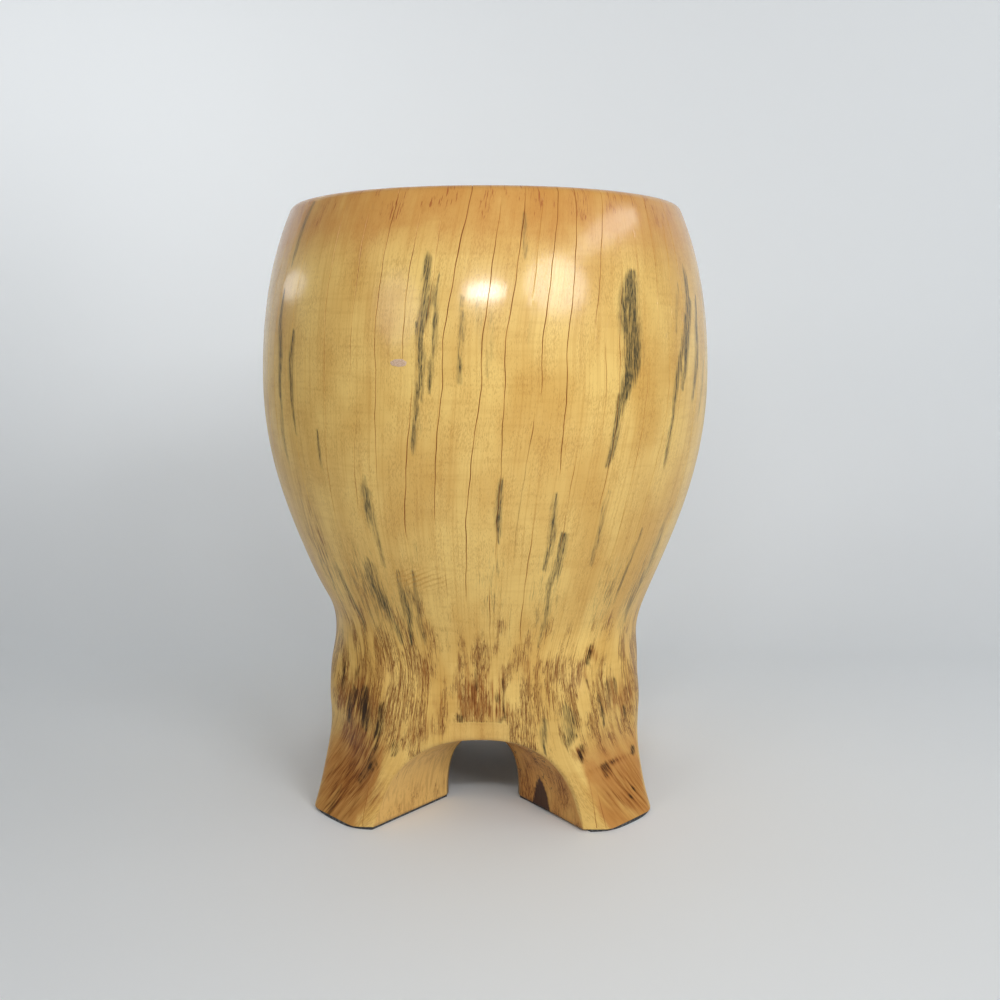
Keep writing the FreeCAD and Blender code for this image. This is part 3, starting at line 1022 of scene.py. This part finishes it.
# %% [markdown]
# ## Helpers for materials
# A material is a graph of nodes. Written out node by node it is long and hard to follow, so a few small
# helpers add a node, set or link its sockets and hand back its output. Colours are written as they look
# on a screen and turned into the linear values that shaders use.


# %% Node helpers
def seen(red, green, blue):
    """A colour as it looks on a screen, 0 to 255 a channel, as linear red, green, blue and alpha."""
    share = np.array([red, green, blue]) / 255
    linear = np.where(share <= 0.04045, share / 12.92, ((share + 0.055) / 1.055) ** 2.4)
    return (*linear.tolist(), 1.0)


def add(tree, kind, settings, inputs):
    """Add a node, set its properties, and set or link its inputs by name or number."""
    node = tree.nodes.new(kind)
    for name, value in settings.items():
        setattr(node, name, value)
    for name, value in inputs.items():
        if isinstance(value, bpy.types.NodeSocket):
            tree.links.new(value, node.inputs[name])
        else:
            node.inputs[name].default_value = value
    return node


def maths(tree, operation, *values):
    """One sum on up to three values or sockets."""
    return add(tree, "ShaderNodeMath", {"operation": operation}, dict(enumerate(values))).outputs[0]


def rise(tree, value, low, high):
    """0 where the value is under low, 1 where it is over high, and a smooth rise between."""
    sockets = {"Value": value, "From Min": low, "From Max": high}
    return add(tree, "ShaderNodeMapRange", {"interpolation_type": "SMOOTHSTEP"}, sockets).outputs[0]


def blend(tree, share, first, second, most=1.0):
    """The first colour, socket 6, where the share is 0, and up to most of the second, 7, where it is 1."""
    sockets = {0: maths(tree, "MULTIPLY", share, most), 6: first, 7: second}
    return add(tree, "ShaderNodeMix", {"data_type": "RGBA"}, sockets).outputs[2]


def noise(tree, place_in, scale, detail):
    """Cloudy values about a half."""
    sockets = {"Vector": place_in, "Scale": scale, "Detail": detail}
    return add(tree, "ShaderNodeTexNoise", {}, sockets).outputs[0]


def stored(tree, name, kind="Fac"):
    """A mask, or a coordinate where the kind is Vector, that the mesh keeps."""
    return add(tree, "ShaderNodeAttribute", {"attribute_name": name}, {}).outputs[kind]


def product(tree, first, *others):
    """All the shares multiplied."""
    for other in others:
        first = maths(tree, "MULTIPLY", first, other)
    return first


def vector_maths(tree, operation, *values):
    """One sum on up to three vectors, as the node's outputs."""
    return add(tree, "ShaderNodeVectorMath", {"operation": operation}, dict(enumerate(values))).outputs


def bump(tree, height, strength, distance):
    """Relief that is too fine for the mesh, as tilted normals."""
    sockets = {"Strength": strength, "Distance": distance, "Height": height}
    return add(tree, "ShaderNodeBump", {}, sockets).outputs[0]


def new_material(name):
    """An empty node material, its nodes and its surface."""
    material = bpy.data.materials.new(name)
    material.use_nodes = True
    material.node_tree.nodes.clear()
    surface = material.node_tree.nodes.new("ShaderNodeOutputMaterial").inputs[0]
    return material, material.node_tree, surface


def object_place(tree):
    """The place on the piece itself, in metres."""
    return add(tree, "ShaderNodeTexCoord", {}, {}).outputs["Object"]


def principled(tree, sockets):
    """The one shader that every finish here uses, with its sockets set or linked."""
    return add(tree, "ShaderNodeBsdfPrincipled", {}, sockets).outputs[0]


def new_group(name, inputs):
    """An empty node group with float inputs, a vector to look things up at, and one value out."""
    tree = bpy.data.node_groups.new(name, "ShaderNodeTree")
    tree.interface.new_socket(name="Place", in_out="INPUT", socket_type="NodeSocketVector")
    for socket in inputs:
        tree.interface.new_socket(name=socket, in_out="INPUT", socket_type="NodeSocketFloat")
    tree.interface.new_socket(name="Value", in_out="OUTPUT", socket_type="NodeSocketFloat")
    return tree, tree.nodes.new("NodeGroupInput").outputs, tree.nodes.new("NodeGroupOutput").inputs


# %% [markdown]
# ## Effects that several finishes share
# Wood shows lines along its fibres at every scale, from broad bands of tone down to single pores, and
# the filler and the pads share a fine speckle. Each is one node group with its own settings in each
# place. The fibre group squeezes a noise across the grain and stretches it along.

# %% Node groups
SPECK_DETAIL = 4.0
SPECK_EDGE = 0.12

fibre_tree, fibre_in, fibre_out = new_group("fibre_lines", ("Across", "Along", "Detail"))
squeeze = add(fibre_tree, "ShaderNodeCombineXYZ", {}, {0: fibre_in[1], 1: fibre_in[1], 2: fibre_in[2]})
squeezed = vector_maths(fibre_tree, "MULTIPLY", fibre_in[0], squeeze.outputs[0])[0]
fibre_tree.links.new(noise(fibre_tree, squeezed, 1.0, fibre_in[3]), fibre_out[0])

speckle_tree, speckle_in, speckle_out = new_group("fine_speckle", ("Scale", "Cover"))
grains = noise(speckle_tree, speckle_in[0], speckle_in[1], SPECK_DETAIL)
covered = maths(speckle_tree, "SUBTRACT", maths(speckle_tree, "ADD", grains, speckle_in[2]), 1.0)
speckle_tree.links.new(rise(speckle_tree, covered, -SPECK_EDGE, SPECK_EDGE), speckle_out[0])


def fibres(tree, place_in, across, along, detail):
    """Lines along the fibres: how many to the metre across the grain and along it."""
    sockets = {"Place": place_in, "Across": across, "Along": along, "Detail": detail}
    return add(tree, "ShaderNodeGroup", {"node_tree": fibre_tree}, sockets).outputs[0]


def speckle(tree, place_in, scale, cover):
    """Small ragged specks that cover more of the surface as cover rises to 1."""
    sockets = {"Place": place_in, "Scale": scale, "Cover": cover}
    return add(tree, "ShaderNodeGroup", {"node_tree": speckle_tree}, sockets).outputs[0]


def broken(tree, mask, lines, reach, low, high):
    """A soft mask broken up by lines: the mask times one plus the lines' swing, then a smooth rise."""
    swing = maths(tree, "MULTIPLY_ADD", lines, reach, 1.0 - reach / 2)
    return rise(tree, maths(tree, "MULTIPLY", mask, swing), low, high)


print("node groups:", [tree.name for tree in bpy.data.node_groups])

# %% [markdown]
# ## Lacquered wood
# Under a clear gloss lacquer the wood is pale yellow, warmer and more orange at the top and on the feet.
# One base colour with a wood texture would miss what makes this log itself, so the finish is built up
# as the real one is, in layers: tone along the fibres, then pores, grey streaks, stains, marks and
# cracks, and the lacquer over all. Each layer is a mask, broken up by lines along the fibres, and a
# colour. One layer is painted shade: the throat and the hollow where the arches meet are coloured dark
# grey for the shade under the log. The lacquer is the shader's own coat, so its gloss comes from the
# lamps. It is thickest on the shoulder and worn off over pores, stains and cracks.

# %% Colours of the wood
PALE = seen(236, 200, 118)
TAN = seen(216, 172, 92)
GRAIN_LINE = seen(184, 128, 52)
FLECK = seen(158, 104, 40)
ORANGE = seen(196, 134, 64)
LEG_BROWN = seen(190, 130, 66)
CUT_WOOD = seen(226, 180, 106)
# painted shade: dark grey for the throat and the hollow, standing for the shade under the log
HOLLOW_SHADE = seen(92, 80, 68)
OLIVE = seen(138, 114, 62)
GREY = seen(66, 62, 44)
BROWN_STAIN = seen(150, 88, 34)
DARK_STAIN = seen(96, 48, 14)
BLACK_STAIN = seen(40, 26, 8)
DAMP_TAN = seen(192, 142, 72)
DAMP_BROWN = seen(148, 98, 48)
PORE = seen(102, 52, 22)
RED_DASH = seen(158, 84, 44)
PURPLE = seen(50, 30, 32)
TRACK = seen(88, 62, 44)
CRACK = seen(150, 86, 38)
RING = seen(158, 106, 52)
print("the palest wood reflects", np.round(PALE[:3], 2), "of red, green and blue")

# %% Lines along the fibres
WOOD_LINES = {
    # how many to the metre across the fibres and along them, and how much detail
    "broad": (30.0, 14.0, 3.0),
    "clouds": (80.0, 36.0, 4.0),
    "chatter": (26.0, 240.0, 4.0),
    "bands": (420.0, 55.0, 4.0),
    "lines": (700.0, 10.0, 5.0),
    "strands": (900.0, 40.0, 5.0),
    "dashes": (1400.0, 120.0, 4.0),
    "spots": (1500.0, 240.0, 4.0),
    "grains": (1900.0, 500.0, 2.0),
    "flecks": (2400.0, 420.0, 3.0),
}
MIXED_LINES = {"threads": ("dashes", "bands"), "hairs": ("dashes", "strands")}

wood, tree, surface = new_material("lacquered_wood")
position = object_place(tree)
axes = add(tree, "ShaderNodeSeparateXYZ", {}, {0: position}).outputs
grain = stored(tree, "fibre", "Vector")
part = {name: stored(tree, name) for name in masks}
part.update({name: fibres(tree, grain, *sizes) for name, sizes in WOOD_LINES.items()})
for name, (first, second) in MIXED_LINES.items():
    part[name] = maths(tree, "MULTIPLY", maths(tree, "ADD", part[first], part[second]), 0.5)
print(len(masks), "masks and", len(WOOD_LINES) + len(MIXED_LINES), "kinds of lines")

# %% Patches, stipple and saw marks
PATCHES = {
    # mask, lines that break it up, their reach, and the ends of a rise
    "patchy": ("pores", "clouds", 3.6, 0.0, 1.1),
    "dry_patches": ("dry", "clouds", 6.0, 0.4, 1.4),
    "greyed": ("spalt", "hairs", 6.0, 0.22, 1.15),
}
STIPPLE = (0.4, 0.58)
STIPPLE_LEAST = 0.55
SAW_TILT = -0.43
SAW_TEETH = 1700.0
SAW_WOBBLE = 7.0
BLOTS = 260.0

for name, (mask, lines, *how) in PATCHES.items():
    part[name] = broken(tree, part[mask], part[lines], *how)
part["blots"] = noise(tree, position, BLOTS, 3.0)
stipple = maths(tree, "MULTIPLY_ADD", rise(tree, part["spots"], *STIPPLE), 1 - STIPPLE_LEAST, STIPPLE_LEAST)
part["stippled"] = product(tree, part["greyed"], stipple)
tilted = maths(tree, "MULTIPLY_ADD", axes[0], SAW_TILT, axes[2])
wobble = maths(tree, "MULTIPLY", part["clouds"], SAW_WOBBLE)
part["teeth"] = maths(tree, "SINE", maths(tree, "MULTIPLY_ADD", tilted, SAW_TEETH, wobble))
print("saw marks", round(2 * np.pi / SAW_TEETH / MM, 1), "mm apart")

# %% Tracks on the walls of the arches
TRACK_WINDING = 150.0
TRACK_GROUPS = 38.0
TRACK_GROUP_EDGE = (0.46, 0.54)
TRACK_WIDTH = (0.03, 0.012)
TRACK_SIDE = (-0.02, 0.02)
TRACK_FOOT = (0.014, 0.026)

from_line = maths(tree, "SUBTRACT", noise(tree, position, TRACK_WINDING, 2.0), 0.5)
part["tracks"] = product(
    tree,
    rise(tree, maths(tree, "ABSOLUTE", from_line), *TRACK_WIDTH),
    rise(tree, noise(tree, position, TRACK_GROUPS, 1.0), *TRACK_GROUP_EDGE),
    part["vault"],
    rise(tree, axes[0], *TRACK_SIDE),
    rise(tree, axes[2], *TRACK_FOOT),
)
print("tracks start", TRACK_FOOT[0] / MM, "mm above the floor")

# %% Rings on the seat
PITH = (-0.011, 0.008, 0.0)
RINGS = 1500.0
BROAD_RINGS = RINGS / 5.3
BROAD_RING_SHARE = 0.6
RING_WARP = 0.016
RING_WARP_SCALE = 16.0
FINE_EDGE = -0.2
BROAD_EDGE = -0.6

from_pith = vector_maths(tree, "MULTIPLY_ADD", position, (1.0, 1.0, 0.0), PITH)[0]
growth = vector_maths(tree, "LENGTH", from_pith)["Value"]
years = maths(tree, "MULTIPLY_ADD", noise(tree, position, RING_WARP_SCALE, 2.0), RING_WARP, growth)
fine, broad = (maths(tree, "SINE", maths(tree, "MULTIPLY", years, rings)) for rings in (RINGS, BROAD_RINGS))
broad = rise(tree, broad, BROAD_EDGE, 1.0)
broad = maths(tree, "MULTIPLY_ADD", broad, BROAD_RING_SHARE, 1 - BROAD_RING_SHARE)
part["rings"] = product(tree, rise(tree, fine, FINE_EDGE, 1.0), broad, part["end_grain"])
print("rings", round(2 * np.pi / RINGS / MM, 1), "mm apart")

# %% Layers of colour
LAYERS = (
    # colour, most of it, mask, then nothing, or the ends of a rise, or lines, their reach and a rise
    (TAN, 1.0, "broad", 0.34, 0.7),
    (GRAIN_LINE, 0.26, "lines", 0.46, 0.7),
    (FLECK, 0.32, "clouds", "flecks", 5.0, 0.52, 0.9),
    (GRAIN_LINE, 0.14, "chatter", 0.48, 0.7),
    (ORANGE, 0.75, "warmth", "clouds", 1.4, 0.0, 1.1),
    (CUT_WOOD, 0.65, "vault"),
    (LEG_BROWN, 0.85, "browned", "clouds", 1.6, 0.0, 1.2),
    # painted shade in the throat and the hollow
    (HOLLOW_SHADE, 0.85, "hollow"),
    (DAMP_BROWN, 0.3, "vault", "bands", 4.0, 0.8, 1.6),
    (DAMP_TAN, 0.08, "pores"),
    (DAMP_BROWN, 0.62, "patchy", "strands", 9.0, 0.75, 1.7),
    (PORE, 0.36, "patchy", "lines", 9.0, 0.9, 2.1),
    (PORE, 0.62, "patchy", "dashes", 9.0, 1.0, 2.0),
    (PORE, 0.8, "patchy", "spots", 10.0, 1.2, 2.3),
    (RED_DASH, 0.8, "dry_patches", "dashes", 9.0, 1.3, 2.3),
    (GREY, 0.58, "haze", "threads", 9.0, 0.34, 1.25),
    (OLIVE, 0.5, "spalt", "bands", 3.0, 0.1, 1.0),
    (GREY, 0.95, "stippled"),
    (BROWN_STAIN, 0.85, "stain", "bands", 3.2, 0.12, 1.1),
    (DARK_STAIN, 0.75, "stain", "threads", 9.0, 0.75, 1.55),
    (BLACK_STAIN, 0.92, "black", "threads", 5.0, 0.2, 1.2),
    (GRAIN_LINE, 0.4, "saw", "teeth", 0.5, 0.5, 1.2),
    (TRACK, 0.85, "tracks"),
    (PURPLE, 0.92, "patch", "blots", 1.4, 0.34, 0.7),
    (RING, 0.5, "rings"),
    (CRACK, 1.0, "crack", 0.05, 0.4),
)

colour = PALE
for tint, most, mask, *how in LAYERS:
    share = part[mask]
    if len(how) == 2:
        share = rise(tree, share, *how)
    elif how:
        share = broken(tree, share, part[how[0]], *how[1:])
    colour = blend(tree, share, colour, tint, most)
print(len(LAYERS), "layers of colour over the pale wood")

# %% Lacquer
COAT_ROUGHNESS = 0.16
COAT_LEAST = 0.3
COAT_SPREAD = 0.26
COAT_GRAIN = (0.3, 0.6)
SHOULDER = (0.3, 0.37)
GLOSS_BELOW = 0.7
GLOSS_RISE = 0.85
BARE_CRACK = (0.0, 0.08)
BARE_GLOSS = 0.16
MOST_WORN = 0.85
ROUGH_LEAST = 0.3
ROUGH_SPREAD = 0.16
LINE_RELIEF = 0.5
RELIEF_STRENGTH = 0.2
RELIEF_DEPTH = 0.0004

matt = maths(tree, "MAXIMUM", part["pores"], part["browned"])
matt = maths(tree, "MINIMUM", maths(tree, "MAXIMUM", matt, part["black"]), MOST_WORN)
worn = maths(tree, "MAXIMUM", rise(tree, part["crack"], *BARE_CRACK), matt)
covered = maths(tree, "MULTIPLY_ADD", rise(tree, part["grains"], *COAT_GRAIN), COAT_SPREAD, COAT_LEAST)
gloss = maths(tree, "MULTIPLY_ADD", rise(tree, axes[2], *SHOULDER), GLOSS_RISE, GLOSS_BELOW)
relief = maths(tree, "MULTIPLY_ADD", part["lines"], LINE_RELIEF, part["grains"])
shader = principled(tree, {
    "Base Color": colour,
    "Roughness": maths(tree, "MULTIPLY_ADD", part["lines"], ROUGH_SPREAD, ROUGH_LEAST),
    "Normal": bump(tree, relief, RELIEF_STRENGTH, RELIEF_DEPTH),
    "Specular IOR Level": BARE_GLOSS,
    "Coat Weight": product(tree, covered, gloss, maths(tree, "SUBTRACT", 1.0, worn)),
    "Coat Roughness": COAT_ROUGHNESS,
})
tree.links.new(shader, surface)
log_skin.data.materials.append(wood)
print("wood material with", len(tree.nodes), "nodes")

# %% [markdown]
# ## Filler and pads
# The filler is a mauve-grey putty with specks of sawdust, lacquered over with the rest. The pads are
# thin dark sheet, matt and a little dusty. Their solids are right as they are and only take a finish.

# %% Filler and pad materials
PUTTY = seen(214, 184, 156)
SAWDUST = seen(182, 146, 116)
SHEET = seen(58, 60, 62)
DUST = seen(104, 104, 102)


def speckled(name, body, specks, scale, cover, relief, depth, roughness, coat):
    """A plain finish with specks of a second colour, which also stand out in relief."""
    material, tree, surface = new_material(name)
    speck_share = speckle(tree, object_place(tree), scale, cover)
    shader = principled(tree, {
        "Base Color": blend(tree, speck_share, body, specks),
        "Roughness": roughness,
        "Normal": bump(tree, speck_share, relief, depth),
        "Coat Weight": coat,
        "Coat Roughness": COAT_ROUGHNESS,
    })
    tree.links.new(shader, surface)
    return material


putty = speckled(
    "hole_filler", PUTTY, SAWDUST, 1900.0, 0.46, relief=0.15, depth=0.0003, roughness=0.45, coat=0.8
)
sheet = speckled("sole_pad", SHEET, DUST, 420.0, 0.42, relief=0.3, depth=0.0004, roughness=0.85, coat=0.0)
filler_skin.data.materials.append(putty)
for name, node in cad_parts.items():
    if name.startswith("foot_pad"):
        node.data.materials.clear()
        node.data.materials.append(sheet)
print("materials:", [material.name for material in (wood, putty, sheet)])

# %% [markdown]
# ## Studio
# The stool stands on a pale sweep: a floor that curves up into a wall close behind it, so the wall takes
# a soft shadow. It reaches further to the right, where the large lamp lights it. The wall shows nothing
# from behind, which lets the other views look at the back of the stool. The lacquer shows where the
# lamps stood, so each is placed from its highlight: the line of sight is mirrored at the skin and
# followed on. There is one just above the camera, a large one to the right, a dim one to the left, a
# long one high on the right and a small one at the back left. A last one at the left is aimed at the
# wall with a narrow spread, and is hidden from reflections.

# %% Sweep
SWEEP_LEFT = -1.0
SWEEP_RIGHT = 3.0
SWEEP_FRONT = -2.6
WALL_PLACE = 0.62
WALL_TOP = 2.6
SWEEP_BEND = 0.3
SWEEP_PALE = seen(233, 237, 240)
SWEEP_ROUGHNESS = 0.7
BEND_POINTS = 24


def sweep_profile(points):
    """Depth and height along the sweep: flat floor, quarter round, upright wall."""
    bend = np.linspace(0.0, np.pi / 2, points)
    depth = np.concatenate([[SWEEP_FRONT], WALL_PLACE - SWEEP_BEND * (1 - np.sin(bend)), [WALL_PLACE]])
    height = np.concatenate([[0.0], SWEEP_BEND * (1 - np.cos(bend)), [WALL_TOP]])
    return depth, height


sweep_depth, sweep_height = sweep_profile(BEND_POINTS)
sweep_side = np.array([SWEEP_LEFT, SWEEP_RIGHT])[:, None]
sweep_points = np.stack(np.broadcast_arrays(sweep_side, sweep_depth, sweep_height), -1).reshape(-1, 3)
step = np.arange(sweep_depth.size - 1)
sweep_faces = np.stack([step, step + sweep_depth.size, step + sweep_depth.size + 1, step + 1], -1)
sweep_mesh = bpy.data.meshes.new("sweep")
sweep_mesh.from_pydata(sweep_points.tolist(), [], sweep_faces.tolist())
sweep_mesh.polygons.foreach_set("use_smooth", np.ones(len(sweep_mesh.polygons), bool))
sweep = linked("sweep", sweep_mesh)

paper, tree, surface = new_material("pale_sweep")
shader = principled(tree, {"Base Color": SWEEP_PALE, "Roughness": SWEEP_ROUGHNESS})
nothing = add(tree, "ShaderNodeBsdfTransparent", {}, {}).outputs[0]
behind = add(tree, "ShaderNodeNewGeometry", {}, {}).outputs["Backfacing"]
either = add(tree, "ShaderNodeMixShader", {}, {0: behind, 1: shader, 2: nothing})
tree.links.new(either.outputs[0], surface)
sweep_mesh.materials.append(paper)
print("sweep normals point", tuple(round(x, 2) for x in sweep_mesh.polygons[0].normal))

# %% Lamps
SURROUND = 0.2
LAMPS = (
    # name, turn and height of the two ends of its highlight, distance, height of the lamp, watts
    ("camera_box", -5.2, 382, 4.2, 382, 0.65, 0.065, 1.55),
    ("right_box", 8.5, 385, 23.5, 385, 2.0, 0.6, 15.6),
    ("left_box", -25.0, 370, -15.0, 370, 1.8, 0.6, 2.75),
    ("right_strip", 20.5, 404, 42.0, 434, 1.5, 0.2, 3.3),
    ("left_back_box", -59.0, 388, -47.0, 388, 0.7, 0.08, 0.18),
)
WASH_PLACE = Vector((-1.2, -0.4, 1.0))
WASH_AIM = Vector((-0.38, 0.62, 0.62))
WASH_WIDTH = 0.8
WASH_HEIGHT = 0.3
WASH_WATTS = 1.35
WASH_SPREAD = 66.0
NEARBY = 0.5
eye_place = np.array(eye.location) / MM


def mirrored(turn, height, distance):
    """Point that the lacquer mirrors to the camera: the line of sight, mirrored at the skin, followed on."""
    here = place(turn, height, log_radius(turn, height))
    across = place(turn + NEARBY, height, log_radius(turn + NEARBY, height)) - here
    upward = place(turn, height + NEARBY, log_radius(turn, height + NEARBY)) - here
    normal = np.cross(across, upward)
    normal = normal / np.linalg.norm(normal)
    sight = (here - eye_place) / np.linalg.norm(here - eye_place)
    return here * MM, here * MM + distance * (sight - 2 * (sight @ normal) * normal)


def area_lamp(name, shape, width, height, watts):
    """A lamp with a flat face of the given shape and size."""
    lamp = linked(name, bpy.data.lights.new(name, "AREA"))
    lamp.data.shape = shape
    lamp.data.size = width
    lamp.data.size_y = height
    lamp.data.energy = watts
    return lamp


for name, left_turn, left_height, right_turn, right_height, distance, height, watts in LAMPS:
    left_place, left_end = mirrored(left_turn + FACING, left_height, distance)
    right_place, right_end = mirrored(right_turn + FACING, right_height, distance)
    width = float(np.linalg.norm(right_end - left_end))
    box = area_lamp(name, "ELLIPSE", width, height, watts)
    box.location = (left_end + right_end) / 2
    side = Vector(right_end - left_end).normalized()
    back = (box.location - Vector((left_place + right_place) / 2)).normalized()
    up = back.cross(side).normalized()
    box.rotation_euler = Matrix((side, up, side.cross(up))).transposed().to_euler()
    print(name, "at", np.round(box.location, 2), "is", round(width, 2), "m wide")

wash = area_lamp("wall_wash", "RECTANGLE", WASH_WIDTH, WASH_HEIGHT, WASH_WATTS)
wash.data.spread = np.radians(WASH_SPREAD)
wash.visible_glossy = False
wash.location = WASH_PLACE
wash.rotation_euler = (WASH_AIM - WASH_PLACE).to_track_quat("-Z", "Y").to_euler()
world = bpy.data.worlds.new("surround")
world.use_nodes = True
world.node_tree.nodes["Background"].inputs["Color"].default_value = (1.0, 1.0, 1.0, 1.0)
world.node_tree.nodes["Background"].inputs["Strength"].default_value = SURROUND
bpy.context.scene.world = world
